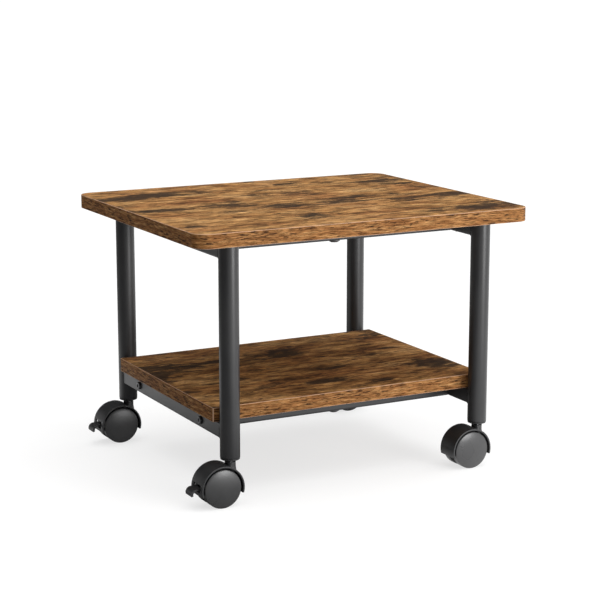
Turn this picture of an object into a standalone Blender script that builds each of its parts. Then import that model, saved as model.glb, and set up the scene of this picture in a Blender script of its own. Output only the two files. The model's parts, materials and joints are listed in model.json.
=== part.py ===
"""Mobile printer stand: two wooden boards on a welded tube frame that rolls on four casters.

Metres, +Z up. The origin is on the floor under the middle of the top board, +X points to the
right-hand side and +Y to the back. The casters trail towards -X.
"""

import math

import bmesh
import bpy
from mathutils import Matrix, Vector

STAND_NAME = "printer_stand"
GAP = 0.0003
CUT_MARGIN = 0.001  # how far a cutter runs past the face that it opens
CREASE_ANGLE = 35  # degrees: a steeper edge stays sharp in the shading

# Facets on round pieces
LEG_SIDES = 32
ROUND_SIDES = 20
FINE_SIDES = 12
WHEEL_SIDES = 24
HOOD_SIDES = 32

# Boards
TOP_SIZE = (0.480, 0.400)
TOP_HEIGHT = 0.350
TOP_CORNER_RADIUS = 0.020
SHELF_SIZE = (0.400, 0.304)
SHELF_HEIGHT = 0.122
SHELF_CORNER_RADIUS = 0.0015
BOARD_THICKNESS = 0.018
BOARD_EDGE_RADIUS = 0.0008

# Tube frame
LEG_X = 0.1835
LEG_Y = 0.166
LEG_RADIUS = 0.0127
LEG_WALL = 0.0015
LEG_BOTTOM = 0.0584
RAIL_SIZE = 0.020
RAIL_WALL = 0.0012
RAIL_CORNER_CHAMFER = 0.0014
CROSS_RAIL_Y = 0.100

# Fasteners
BOLT_RADIUS = 0.003
BOLT_LENGTH = 0.030
BOLT_HEAD_RADIUS = 0.00525
BOLT_HEAD_HEIGHT = 0.0028
BOLT_RIM_HEIGHT = 0.0008
BOLT_SOCKET_FLATS = 0.004
BOLT_SOCKET_DEPTH = 0.0016
BOLT_TIP_CHAMFER = 0.001
END_PLATE_THICKNESS = 0.003
SCREW_RADIUS = 0.002
SCREW_GRIP = 0.011
SCREW_TIP_LENGTH = 0.002
SCREW_HEAD_RIM = 0.4  # share of the head's height that is upright
SCREW_HEAD_CROWN = 0.72  # share of the head's radius that is flat below
CENTRE_SCREW_HEAD = (0.008, 0.003)
SIDE_SCREW_HEAD = (0.004, 0.002)
SIDE_SCREW_Y = 0.110

# Leg socket and caster stem
SOCKET_FLANGE_RADIUS = 0.0124
SOCKET_FLANGE_HEIGHT = 0.002
SOCKET_LENGTH = 0.028
SOCKET_TIP_CHAMFER = 0.001
SOCKET_RIM_CHAMFER = 0.0009
STEM_RADIUS = 0.004
STEM_PIVOT_RADIUS = 0.0035
STEM_SHOULDER = LEG_BOTTOM - 0.0008
STEM_TOP = LEG_BOTTOM + 0.025
STEM_BOTTOM = 0.034
STEM_TOP_CHAMFER = 0.0008
STEM_TIP_CHAMFER = 0.001
STEM_SHOULDER_CHAMFER = 0.0005
STEM_GROOVE = (0.003, 0.0045)  # heights of the snap ring's groove above the stem's bottom
STEM_GROOVE_DEPTH = 0.0006

# Caster
TRAIL = 0.017
WHEEL_RADIUS = 0.025
WHEEL_BEVEL = 0.0009
WHEEL_INNER_Y = 0.0058
WHEEL_EDGE_Y = 0.0164
WHEEL_CROWN_Y = 0.0182
WHEEL_HUB_RADIUS = 0.006
WHEEL_RIM_WALL = 0.0035
WHEEL_FACE_WALL = 0.003
WHEEL_DOME_ANGLES = (0, 42, 70)  # degrees from the axis to the rim
WHEEL_DOME_POWER = 0.7
WHEEL_BORE_SPARE = 0.0005
AXLE_HEIGHT = WHEEL_RADIUS
AXLE_RADIUS = 0.003
AXLE_HALF_LENGTH = 0.0138
AXLE_CHAMFER = 0.0006
HOOD_RADIUS = 0.0293
HOOD_WALL = 0.002
HOOD_HALF_WIDTH = 0.0165
HOOD_CUT_HEIGHT = AXLE_HEIGHT - 0.0075
WEB_HALF_WIDTH = 0.0052
BOSS_RADIUS = 0.007
BOSS_BOTTOM = AXLE_HEIGHT + 0.010
BOSS_TOP = 0.0555

# Brake lever, on the left-hand casters only
BRAKE_PIVOT = (-0.0385, 0.0285)
BRAKE_PIVOT_RADIUS = 0.0028
BRAKE_BAY_HALF_WIDTH = 0.0034
BRAKE_BAY_TOP = 0.036
PEDAL_SLOT_HEIGHTS = (0.0222, 0.0325)
BRAKE_BAY_END = 0.0095  # from the axle back to the bay's front end
PEDAL_SLOT_INSET = 0.0004  # how far the slot cuts into the arm's bay
PEDAL_HALF_WIDTH = 0.009
PEDAL_THICKNESS = 0.0026
PEDAL_ROOT_X = -0.0052
PEDAL_ROOT_TOP = 0.0002
HOOK_CENTRE = (-0.0122, -0.0072)
HOOK_RADIUS = 0.0068
HOOK_ARC = (82, 200)  # degrees, from the root to the tip
HOOK_STEPS = 6
ARM_OVERLAP = 0.002
ARM_DEPTH = 0.0022

BOARD_BOTTOMS = {"upper": TOP_HEIGHT - BOARD_THICKNESS, "lower": SHELF_HEIGHT - BOARD_THICKNESS}
LEG_TUBE_BOTTOM = LEG_BOTTOM + SOCKET_FLANGE_HEIGHT + GAP
CROSS_RAIL_LENGTH = 2 * (LEG_X - RAIL_SIZE / 2 - GAP)
SIDES = {"left": -1, "right": 1}
ENDS = {"front": -1, "rear": 1}
BRAKED_SIDE = "left"


def clear_scene():
    for obj in list(bpy.data.objects):
        bpy.data.objects.remove(obj, do_unlink=True)


def new_collection(name):
    collection = bpy.data.collections.new(name)
    bpy.context.scene.collection.children.link(collection)
    return collection


def principled(name, colour, roughness, metallic=0.0):
    material = bpy.data.materials.new(name)
    material.use_nodes = True
    shader = material.node_tree.nodes["Principled BSDF"]
    shader.inputs["Base Color"].default_value = (*colour, 1.0)
    shader.inputs["Roughness"].default_value = roughness
    shader.inputs["Metallic"].default_value = metallic
    return material


def place(mesh, name, material, location=(0, 0, 0), turn_z=0.0, parent=None):
    """One named sub-part, which may share its mesh with its twins."""
    obj = bpy.data.objects.new(name, mesh)
    if not mesh.materials:
        mesh.materials.append(material)
    obj.location = location
    obj.rotation_euler.z = turn_z
    obj.parent = parent
    parts.objects.link(obj)
    return obj


def pivot(name, location):
    """An empty on a joint's axis, which the moving pieces hang from."""
    empty = bpy.data.objects.new(name, None)
    empty.empty_display_size = 0.02
    empty.location = location
    parts.objects.link(empty)
    return empty


# Mesh tools


def mesh_object(bm, name):
    """A working object for a mesh that still gets modifiers."""
    mesh = bpy.data.meshes.new(name)
    bmesh.ops.recalc_face_normals(bm, faces=bm.faces)
    bm.to_mesh(mesh)
    bm.free()
    obj = bpy.data.objects.new(name, mesh)
    obj.hide_render = True
    obj.display_type = "WIRE"
    cutters.objects.link(obj)
    return obj


def finish(obj):
    """The mesh that a working object's modifiers make, shaded smooth up to a crease angle."""
    bpy.context.view_layer.update()
    evaluated = obj.evaluated_get(bpy.context.evaluated_depsgraph_get())
    mesh = bpy.data.meshes.new_from_object(evaluated)
    mesh.name = obj.name
    mesh.materials.clear()
    mesh.shade_smooth()
    mesh.set_sharp_from_angle(angle=math.radians(CREASE_ANGLE))
    for modifier in obj.modifiers:
        if modifier.type == "BOOLEAN":
            bpy.data.objects.remove(modifier.object)
    bpy.data.objects.remove(obj)
    return mesh


def boolean(obj, other, operation="DIFFERENCE"):
    modifier = obj.modifiers.new(operation.lower(), "BOOLEAN")
    modifier.operation = operation
    modifier.solver = "EXACT"
    modifier.object = other


def cylinder(name, radius, depth, centre, axis="Z", sides=FINE_SIDES):
    """A closed cylinder about an axis through its centre."""
    bm = bmesh.new()
    lay = {
        "X": Matrix.Rotation(math.pi / 2, 4, "Y"),
        "Y": Matrix.Rotation(math.pi / 2, 4, "X"),
        "Z": Matrix.Identity(4),
    }[axis]
    bmesh.ops.create_cone(
        bm, cap_ends=True, segments=sides, radius1=radius, radius2=radius, depth=depth,
        matrix=Matrix.Translation(centre) @ lay,
    )
    return mesh_object(bm, name)


def block(name, low, high):
    """A closed box between two corners."""
    low, high = Vector(low), Vector(high)
    move = Matrix.Translation((low + high) / 2)
    stretch = Matrix.Diagonal((*(high - low), 1))
    bm = bmesh.new()
    bmesh.ops.create_cube(bm, size=1.0, matrix=move @ stretch)
    return mesh_object(bm, name)


def turned(name, profile, sides):
    """A profile of (radius, height) points, outer side from top to bottom, turned about Z."""
    bm = bmesh.new()
    points = [bm.verts.new((radius, 0, height)) for radius, height in profile]
    for start, end in zip(points, points[1:]):
        bm.edges.new((start, end))
    if profile[0][0] > 0 and profile[-1][0] > 0:
        bm.edges.new((points[-1], points[0]))
    mesh = bpy.data.meshes.new(name)
    bm.to_mesh(mesh)
    bm.free()
    obj = bpy.data.objects.new(name, mesh)
    obj.hide_render = True
    obj.display_type = "WIRE"
    cutters.objects.link(obj)
    screw = obj.modifiers.new("turn", "SCREW")
    screw.axis = "Z"
    screw.steps = sides
    screw.render_steps = sides
    screw.use_merge_vertices = True
    screw.merge_threshold = 0.00001
    return obj


def arc(centre, radius, start, end, steps):
    """Points on an arc, in degrees, both ends included."""
    angles = [math.radians(start + (end - start) * i / steps) for i in range(steps + 1)]
    return [(centre[0] + radius * math.cos(a), centre[1] + radius * math.sin(a)) for a in angles]


# Boards


def board_mesh(name, size, corner_radius, corner_steps, screw_places):
    """A slab centred in X and Y with its top face at Z = 0 and blind pilot holes below."""
    move = Matrix.Translation((0, 0, -BOARD_THICKNESS / 2))
    stretch = Matrix.Diagonal((*size, BOARD_THICKNESS, 1))
    bm = bmesh.new()
    bmesh.ops.create_cube(bm, size=1.0, matrix=move @ stretch)
    upright = [e for e in bm.edges if abs(e.verts[0].co.z - e.verts[1].co.z) > BOARD_THICKNESS / 2]
    bmesh.ops.bevel(
        bm, geom=upright, offset=corner_radius, segments=corner_steps, profile=0.5, affect="EDGES"
    )
    obj = mesh_object(bm, name)
    edge = obj.modifiers.new("edge", "BEVEL")
    edge.width = BOARD_EDGE_RADIUS
    edge.segments = 1
    edge.limit_method = "ANGLE"
    edge.angle_limit = math.radians(60)
    hole_radius = SCREW_RADIUS + GAP
    depth = SCREW_GRIP + 2 * GAP
    for x, y in screw_places:
        centre = (x, y, -BOARD_THICKNESS + depth / 2 - CUT_MARGIN)
        boolean(obj, cylinder("pilot_hole", hole_radius, depth + 2 * CUT_MARGIN, centre))
    return finish(obj)


# Frame


def leg_mesh():
    """A round tube standing on Z = 0."""
    bm = bmesh.new()
    length = BOARD_BOTTOMS["upper"] - GAP - LEG_TUBE_BOTTOM
    bmesh.ops.create_cone(
        bm, cap_ends=False, segments=LEG_SIDES, radius1=LEG_RADIUS, radius2=LEG_RADIUS, depth=length,
        matrix=Matrix.Translation((0, 0, length / 2)),
    )
    obj = mesh_object(bm, "leg")
    add_wall(obj, LEG_WALL)
    return finish(obj)


def add_wall(obj, thickness):
    """Makes a solid wall inwards from an open skin."""
    wall = obj.modifiers.new("wall", "SOLIDIFY")
    wall.thickness = thickness
    wall.offset = -1.0
    wall.use_even_offset = True
    wall.use_rim = True


def square_tube(name, length):
    """An open-ended square tube along Y, centred on its own middle."""
    bm = bmesh.new()
    bmesh.ops.create_cube(bm, size=1.0, matrix=Matrix.Diagonal((RAIL_SIZE, length, RAIL_SIZE, 1)))
    along = [e for e in bm.edges if abs(e.verts[0].co.y - e.verts[1].co.y) > length / 2]
    bmesh.ops.bevel(bm, geom=along, offset=RAIL_CORNER_CHAMFER, segments=1, affect="EDGES")
    caps = [f for f in bm.faces if abs(f.normal.y) > 0.9]
    bmesh.ops.delete(bm, geom=caps, context="FACES_ONLY")
    obj = mesh_object(bm, name)
    add_wall(obj, RAIL_WALL)
    return obj


def side_rail_mesh(name, screw_holes):
    """A tube along Y whose ends are coped to the legs, cross-drilled for the rail bolts."""
    obj = square_tube(name, 2 * LEG_Y)
    for end in ENDS.values():
        cope = LEG_RADIUS + GAP
        boolean(obj, cylinder("cope", cope, 3 * RAIL_SIZE, (0, end * LEG_Y, 0), sides=LEG_SIDES))
        bolt_place = (0, end * CROSS_RAIL_Y, 0)
        boolean(obj, cylinder("bolt_hole", BOLT_RADIUS + GAP, 2 * RAIL_SIZE, bolt_place, axis="X"))
        if screw_holes:
            screw_place = (0, end * SIDE_SCREW_Y, 0)
            boolean(obj, cylinder("screw_hole", SCREW_RADIUS + GAP, 2 * RAIL_SIZE, screw_place))
    return finish(obj)


def cross_rail_mesh():
    """A tube along Y with a threaded plate welded into each end and a screw hole at mid-length."""
    length = CROSS_RAIL_LENGTH
    obj = square_tube("cross_rail", length)
    reach = RAIL_SIZE / 2 - RAIL_WALL / 2
    for end in ENDS.values():
        outer = end * (length / 2)
        inner = end * (length / 2 - END_PLATE_THICKNESS)
        low = (-reach, min(outer, inner), -reach)
        high = (reach, max(outer, inner), reach)
        boolean(obj, block("end_plate", low, high), "UNION")
    boolean(obj, cylinder("bolt_hole", BOLT_RADIUS + GAP, 2 * length, (0, 0, 0), axis="Y"))
    boolean(obj, cylinder("screw_hole", SCREW_RADIUS + GAP, 2 * RAIL_SIZE, (0, 0, 0)))
    return finish(obj)


# Fasteners


def bolt_mesh():
    """A button-head bolt with a hex socket: its shank runs along -X from the head's seat at X = 0."""
    rise = BOLT_HEAD_HEIGHT - BOLT_RIM_HEIGHT
    dome_radius = (BOLT_HEAD_RADIUS**2 + rise**2) / (2 * rise)
    dome_end = math.degrees(math.acos(BOLT_HEAD_RADIUS / dome_radius))
    dome = arc((0, BOLT_HEAD_HEIGHT - dome_radius), dome_radius, 90, dome_end, 4)
    shank = [
        (BOLT_RADIUS, 0),
        (BOLT_RADIUS, -BOLT_LENGTH + BOLT_TIP_CHAMFER),
        (BOLT_RADIUS - BOLT_TIP_CHAMFER, -BOLT_LENGTH),
    ]
    profile = [(0, BOLT_HEAD_HEIGHT)] + dome[1:] + [(BOLT_HEAD_RADIUS, 0)] + shank + [(0, -BOLT_LENGTH)]
    obj = turned("rail_bolt", profile, FINE_SIDES)
    socket_centre = (0, 0, BOLT_HEAD_HEIGHT + BOLT_SOCKET_DEPTH / 2)
    socket_radius = BOLT_SOCKET_FLATS / 2 / math.cos(math.pi / 6)
    boolean(obj, cylinder("hex_socket", socket_radius, 3 * BOLT_SOCKET_DEPTH, socket_centre, sides=6))
    mesh = finish(obj)
    mesh.transform(Matrix.Rotation(math.pi / 2, 4, "Y"))
    return mesh


def screw_mesh(name, head_radius, head_height):
    """A washer-head screw: its head hangs below Z = 0 and its shank points up through a rail."""
    length = RAIL_SIZE + 2 * GAP + SCREW_GRIP
    profile = [
        (0, length),
        (SCREW_RADIUS, length - SCREW_TIP_LENGTH),
        (SCREW_RADIUS, 0),
        (head_radius, 0),
        (head_radius, -head_height * SCREW_HEAD_RIM),
        (head_radius * SCREW_HEAD_CROWN, -head_height),
        (0, -head_height),
    ]
    return finish(turned(name, profile, FINE_SIDES))


# Leg sockets and casters


def socket_mesh():
    """The plastic plug in a leg's lower end, with its flange at Z = 0 and a bore for the stem."""
    plug_radius = LEG_RADIUS - LEG_WALL - GAP
    bore = STEM_RADIUS + GAP
    flange = SOCKET_FLANGE_HEIGHT
    profile = [
        (plug_radius - SOCKET_TIP_CHAMFER, SOCKET_LENGTH),
        (plug_radius, SOCKET_LENGTH - SOCKET_TIP_CHAMFER),
        (plug_radius, flange),
        (SOCKET_FLANGE_RADIUS, flange),
        (SOCKET_FLANGE_RADIUS, SOCKET_RIM_CHAMFER),
        (SOCKET_FLANGE_RADIUS - SOCKET_RIM_CHAMFER, 0),
        (bore, 0),
        (bore, SOCKET_LENGTH),
    ]
    return finish(turned("leg_socket", profile, ROUND_SIDES))


def stem_mesh():
    """The steel stem, in world heights: its upper part is fixed in the leg socket."""
    groove_low, groove_high = (STEM_BOTTOM + height for height in STEM_GROOVE)
    groove_radius = STEM_PIVOT_RADIUS - STEM_GROOVE_DEPTH
    profile = [
        (0, STEM_TOP),
        (STEM_RADIUS - STEM_TOP_CHAMFER, STEM_TOP),
        (STEM_RADIUS, STEM_TOP - STEM_TOP_CHAMFER),
        (STEM_RADIUS, STEM_SHOULDER),
        (STEM_PIVOT_RADIUS, STEM_SHOULDER - STEM_SHOULDER_CHAMFER),
        (STEM_PIVOT_RADIUS, groove_high),
        (groove_radius, groove_high),
        (groove_radius, groove_low),
        (STEM_PIVOT_RADIUS, groove_low),
        (STEM_PIVOT_RADIUS, STEM_BOTTOM + STEM_TIP_CHAMFER),
        (STEM_PIVOT_RADIUS - STEM_TIP_CHAMFER, STEM_BOTTOM),
        (0, STEM_BOTTOM),
    ]
    return finish(turned("caster_stem", profile, FINE_SIDES))


def wheel_mesh():
    """The wheel on the +Y side of its caster: dished inside, domed outside, turning about Y."""
    rim_inner = WHEEL_RADIUS - WHEEL_RIM_WALL
    web_y = WHEEL_EDGE_Y - WHEEL_FACE_WALL
    bore = AXLE_RADIUS + GAP
    bore_end = AXLE_HALF_LENGTH + WHEEL_BORE_SPARE
    crown = WHEEL_CROWN_Y - WHEEL_EDGE_Y
    dome = [
        (WHEEL_RADIUS * math.sin(t), WHEEL_EDGE_Y + crown * math.cos(t) ** WHEEL_DOME_POWER)
        for t in map(math.radians, WHEEL_DOME_ANGLES)
    ]
    profile = dome + [
        (WHEEL_RADIUS, WHEEL_EDGE_Y - WHEEL_BEVEL),
        (WHEEL_RADIUS, WHEEL_INNER_Y + WHEEL_BEVEL),
        (WHEEL_RADIUS - WHEEL_BEVEL, WHEEL_INNER_Y),
        (rim_inner, WHEEL_INNER_Y),
        (rim_inner, web_y),
        (WHEEL_HUB_RADIUS, web_y),
        (WHEEL_HUB_RADIUS, WHEEL_INNER_Y),
        (bore, WHEEL_INNER_Y),
        (bore, bore_end),
        (0, bore_end),
    ]
    mesh = finish(turned("wheel", profile, WHEEL_SIDES))
    half_step = Matrix.Rotation(math.pi / WHEEL_SIDES, 4, "Z")
    mesh.transform(Matrix.Rotation(-math.pi / 2, 4, "X") @ half_step)
    return mesh


def hood_mesh(braked):
    """The hood in world heights, with its stem axis at X = 0 and the axle TRAIL behind it."""
    axle = (-TRAIL, 0, AXLE_HEIGHT)
    name = "braked_hood" if braked else "plain_hood"
    obj = cylinder(name, HOOD_RADIUS, 2 * HOOD_HALF_WIDTH, axle, axis="Y", sides=HOOD_SIDES)
    boss_middle = (0, 0, (BOSS_TOP + BOSS_BOTTOM) / 2)
    boss = cylinder("stem_boss", BOSS_RADIUS, BOSS_TOP - BOSS_BOTTOM, boss_middle, sides=ROUND_SIDES)
    boolean(obj, boss, "UNION")
    bay_radius = HOOD_RADIUS - HOOD_WALL
    bay_width = HOOD_HALF_WIDTH - WEB_HALF_WIDTH + 2 * CUT_MARGIN
    for side in (-1, 1):
        middle = (axle[0], side * (WEB_HALF_WIDTH + bay_width / 2), axle[2])
        boolean(obj, cylinder("wheel_bay", bay_radius, bay_width, middle, axis="Y", sides=HOOD_SIDES))
    reach = 2 * HOOD_RADIUS
    boolean(obj, block("open_bottom", (-reach, -reach, -reach), (reach, reach, HOOD_CUT_HEIGHT)))
    hole_low = STEM_BOTTOM - GAP
    hole_high = BOSS_TOP + 2 * CUT_MARGIN
    hole_middle = (0, 0, (hole_low + hole_high) / 2)
    boolean(obj, cylinder("stem_hole", STEM_PIVOT_RADIUS + GAP, hole_high - hole_low, hole_middle))
    boolean(obj, cylinder("axle_hole", AXLE_RADIUS + GAP, 4 * WEB_HALF_WIDTH, axle, axis="Y"))
    if braked:
        add_brake_openings(obj)
    return finish(obj)


def add_brake_openings(hood):
    """Opens a bay in the hood's web for the lever's arm and a slot in its skin for the pedal."""
    treads = -TRAIL - WHEEL_RADIUS
    bay_low = (treads - CUT_MARGIN, -BRAKE_BAY_HALF_WIDTH, 0)
    bay_high = (-TRAIL - BRAKE_BAY_END, BRAKE_BAY_HALF_WIDTH, BRAKE_BAY_TOP)
    boolean(hood, block("arm_bay", bay_low, bay_high))
    half = PEDAL_HALF_WIDTH + CUT_MARGIN
    slot_low = (-TRAIL - HOOD_RADIUS - 2 * CUT_MARGIN, -half, PEDAL_SLOT_HEIGHTS[0])
    slot_high = (treads - PEDAL_SLOT_INSET, half, PEDAL_SLOT_HEIGHTS[1])
    boolean(hood, block("pedal_slot", slot_low, slot_high))


def axle_mesh():
    """The steel axle, along Y and centred on its middle."""
    profile = [
        (0, AXLE_HALF_LENGTH),
        (AXLE_RADIUS - AXLE_CHAMFER, AXLE_HALF_LENGTH),
        (AXLE_RADIUS, AXLE_HALF_LENGTH - AXLE_CHAMFER),
        (AXLE_RADIUS, -AXLE_HALF_LENGTH + AXLE_CHAMFER),
        (AXLE_RADIUS - AXLE_CHAMFER, -AXLE_HALF_LENGTH),
        (0, -AXLE_HALF_LENGTH),
    ]
    mesh = finish(turned("caster_axle", profile, FINE_SIDES))
    mesh.transform(Matrix.Rotation(-math.pi / 2, 4, "X"))
    return mesh


def extruded(name, outline, half_width):
    """A flat (x, z) outline made solid across Y."""
    bm = bmesh.new()
    face = bm.faces.new([bm.verts.new((x, -half_width, z)) for x, z in outline])
    swept = bmesh.ops.extrude_face_region(bm, geom=[face])
    moved = [v for v in swept["geom"] if isinstance(v, bmesh.types.BMVert)]
    bmesh.ops.translate(bm, verts=moved, vec=(0, 2 * half_width, 0))
    return mesh_object(bm, name)


def brake_lever_mesh():
    """The lever about its own pivot: an arm between the wheels and a hooked pedal outside."""
    start, end = HOOK_ARC
    top = arc(HOOK_CENTRE, HOOK_RADIUS, start, end, HOOK_STEPS)
    under = arc(HOOK_CENTRE, HOOK_RADIUS - PEDAL_THICKNESS, end, start, HOOK_STEPS)
    root_top = (PEDAL_ROOT_X, PEDAL_ROOT_TOP)
    root_bottom = (PEDAL_ROOT_X, PEDAL_ROOT_TOP - PEDAL_THICKNESS)
    obj = extruded("brake_lever", [root_top] + top + under + [root_bottom], PEDAL_HALF_WIDTH)
    arm_half = BRAKE_BAY_HALF_WIDTH - GAP
    arm = block("arm", (PEDAL_ROOT_X - ARM_OVERLAP, -arm_half, -ARM_DEPTH), (0, arm_half, 0))
    boolean(obj, arm, "UNION")
    boolean(obj, cylinder("eye", BRAKE_PIVOT_RADIUS, 2 * arm_half, (0, 0, 0), axis="Y"), "UNION")
    return finish(obj)


# Assembly


def build_boards():
    centre_screws = [(0, ey * CROSS_RAIL_Y) for ey in ENDS.values()]
    side_screws = [(sx * LEG_X, ey * SIDE_SCREW_Y) for sx in SIDES.values() for ey in ENDS.values()]
    top = board_mesh("top_board", TOP_SIZE, TOP_CORNER_RADIUS, 6, centre_screws + side_screws)
    place(top, "top_board", wood, (0, 0, TOP_HEIGHT))
    shelf = board_mesh("lower_shelf", SHELF_SIZE, SHELF_CORNER_RADIUS, 1, centre_screws)
    place(shelf, "lower_shelf", wood, (0, 0, SHELF_HEIGHT))


def build_frame():
    leg = leg_mesh()
    cross = cross_rail_mesh()
    bolt = bolt_mesh()
    centre_screw = screw_mesh("centre_screw", *CENTRE_SCREW_HEAD)
    side_screw = screw_mesh("side_screw", *SIDE_SCREW_HEAD)
    for side, sx in SIDES.items():
        for end, ey in ENDS.items():
            place(leg, f"leg_{end}_{side}", steel, (sx * LEG_X, ey * LEG_Y, LEG_TUBE_BOTTOM))
    for level, board_bottom in BOARD_BOTTOMS.items():
        middle = board_bottom - GAP - RAIL_SIZE / 2
        under = middle - RAIL_SIZE / 2 - GAP
        side_rail = side_rail_mesh(f"side_rail_{level}", level == "upper")
        for side, sx in SIDES.items():
            place(side_rail, f"side_rail_{level}_{side}", steel, (sx * LEG_X, 0, middle))
            for end, ey in ENDS.items():
                seat = (sx * (LEG_X + RAIL_SIZE / 2 + GAP), ey * CROSS_RAIL_Y, middle)
                turn = 0 if sx > 0 else math.pi
                place(bolt, f"rail_bolt_{level}_{end}_{side}", zinc, seat, turn)
                if level == "upper":
                    foot = (sx * LEG_X, ey * SIDE_SCREW_Y, under)
                    place(side_screw, f"side_screw_{end}_{side}", zinc, foot)
        for end, ey in ENDS.items():
            place(cross, f"cross_rail_{level}_{end}", steel, (0, ey * CROSS_RAIL_Y, middle), math.pi / 2)
            place(centre_screw, f"centre_screw_{level}_{end}", zinc, (0, ey * CROSS_RAIL_Y, under))


def build_casters():
    socket, stem, axle, wheel = socket_mesh(), stem_mesh(), axle_mesh(), wheel_mesh()
    plain_hood, braked_hood, lever = hood_mesh(False), hood_mesh(True), brake_lever_mesh()
    for side, sx in SIDES.items():
        for end, ey in ENDS.items():
            corner = f"{end}_{side}"
            x, y = sx * LEG_X, ey * LEG_Y
            place(socket, f"leg_socket_{corner}", nylon, (x, y, LEG_BOTTOM))
            place(stem, f"caster_stem_{corner}", zinc, (x, y, 0))
            swivel = pivot(f"swivel_{corner}", (x, y, 0))
            braked = side == BRAKED_SIDE
            hood = braked_hood if braked else plain_hood
            place(hood, f"caster_hood_{corner}", nylon, parent=swivel)
            hub = (-TRAIL, 0, AXLE_HEIGHT)
            place(axle, f"caster_axle_{corner}", zinc, hub, parent=swivel)
            back, front = ("inner", "outer") if ey < 0 else ("outer", "inner")
            place(wheel, f"wheel_{corner}_{back}", nylon, hub, parent=swivel)
            place(wheel, f"wheel_{corner}_{front}", nylon, hub, math.pi, swivel)
            if braked:
                lever_place = (BRAKE_PIVOT[0], 0, BRAKE_PIVOT[1])
                place(lever, f"brake_lever_{corner}", nylon, lever_place, parent=swivel)


clear_scene()
parts = new_collection(STAND_NAME)
cutters = new_collection("cutters")
cutters.hide_render = True
wood = principled("rustic_wood", (0.33, 0.17, 0.075), 0.55)
steel = principled("black_powder_coat", (0.022, 0.022, 0.024), 0.45)
nylon = principled("black_nylon", (0.03, 0.03, 0.032), 0.4)
zinc = principled("blackened_zinc", (0.06, 0.06, 0.065), 0.4, 1.0)
build_boards()
build_frame()
build_casters()
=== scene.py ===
"""The finished look of a mobile printer stand: rustic laminate boards, powder-coated tube, hooded casters.

Every piece's mesh lies in the stand's own frame at rest (metres, +Z up), so an object coordinate is a
place on the stand and a texture keeps its real scale.
"""

import json
import math

import bmesh
import bpy
from mathutils import Matrix, Vector


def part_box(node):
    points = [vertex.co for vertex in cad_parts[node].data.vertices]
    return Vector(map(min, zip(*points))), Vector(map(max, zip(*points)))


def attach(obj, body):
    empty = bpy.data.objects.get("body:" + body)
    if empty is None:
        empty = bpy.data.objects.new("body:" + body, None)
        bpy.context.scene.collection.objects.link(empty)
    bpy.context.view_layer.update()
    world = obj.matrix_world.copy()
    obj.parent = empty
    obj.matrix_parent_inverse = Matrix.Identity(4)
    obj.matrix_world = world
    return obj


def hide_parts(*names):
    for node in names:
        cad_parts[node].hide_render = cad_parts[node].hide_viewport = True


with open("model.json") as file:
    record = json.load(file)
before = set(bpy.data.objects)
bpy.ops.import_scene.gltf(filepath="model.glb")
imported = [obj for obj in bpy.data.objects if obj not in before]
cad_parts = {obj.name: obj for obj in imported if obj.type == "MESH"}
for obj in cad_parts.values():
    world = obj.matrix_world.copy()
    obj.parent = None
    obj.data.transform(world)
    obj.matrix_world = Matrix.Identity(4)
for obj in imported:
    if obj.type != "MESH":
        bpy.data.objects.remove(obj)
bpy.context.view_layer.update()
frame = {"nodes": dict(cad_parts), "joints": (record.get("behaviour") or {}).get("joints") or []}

SIDES = {"left": -1, "right": 1}
ENDS = {"front": -1, "rear": 1}
LEVELS = ("upper", "lower")
BRAKED_SIDE = "left"
MM = 0.001
GAP = 0.3 * MM

# Round pieces' facets
TUBE_SIDES = 72
WHEEL_SIDES = 128
SMALL_SIDES = 48

# Boards: a laminated core with an edge band glued round it. The band's rims carry a pale painted highlight,
# where their rounding would catch the light, and so does an upright corner with a radius under SHARP_CORNER
BAND_THICKNESS = 1.0 * MM
BAND_ROUNDING = 0.7 * MM
BAND_SEAM = 0.05 * MM
PAINTED_HIGHLIGHT_REACH = 0.6 * BAND_ROUNDING
CORE_ROUNDING = 0.15 * MM
TOP_CORNER_RADIUS = 20 * MM
TOP_CORNER_STEPS = 14
SHELF_CORNER_RADIUS = 1.5 * MM
SHELF_CORNER_STEPS = 4
SHARP_CORNER = 3 * MM
LEAST_RADIUS = 0.05 * MM

# Tube frame
LEG_WALL = 1.5 * MM
LEG_RIM_ROUNDING = 0.7 * MM
RAIL_WALL = 1.2 * MM
RAIL_CORNER_RADIUS = 1.9 * MM
RAIL_SIDE_STEPS = 10
RAIL_BEND_STEPS = 5
BEAD_RADIUS = 0.9 * MM
BEAD_SIDES = 8
BEAD_RIPPLE = 0.12
BEAD_RIPPLE_LENGTH = 2.4 * MM
BEAD_START = 0.35
BEAD_TAPER_LENGTH = 3 * MM

# Leg sockets and caster stems: below a shoulder the stem is thinner, with a snap ring's groove
SOCKET_FLANGE_ROUNDING = 1.1 * MM
STEM_STEP = 0.5 * MM
STEM_SHOULDER_DROP = 3.1 * MM
GROOVE_DEPTH = 0.6 * MM
GROOVE_FOOT = 3 * MM
GROOVE_TOP = 4.5 * MM

# Fasteners
BOLT_SOCKET_FLATS = 4 * MM
BOLT_SOCKET_DEPTH = 1.5 * MM
BOLT_SHANK_RADIUS = 3 * MM
SCREW_SHANK_RADIUS = 2 * MM

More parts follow.
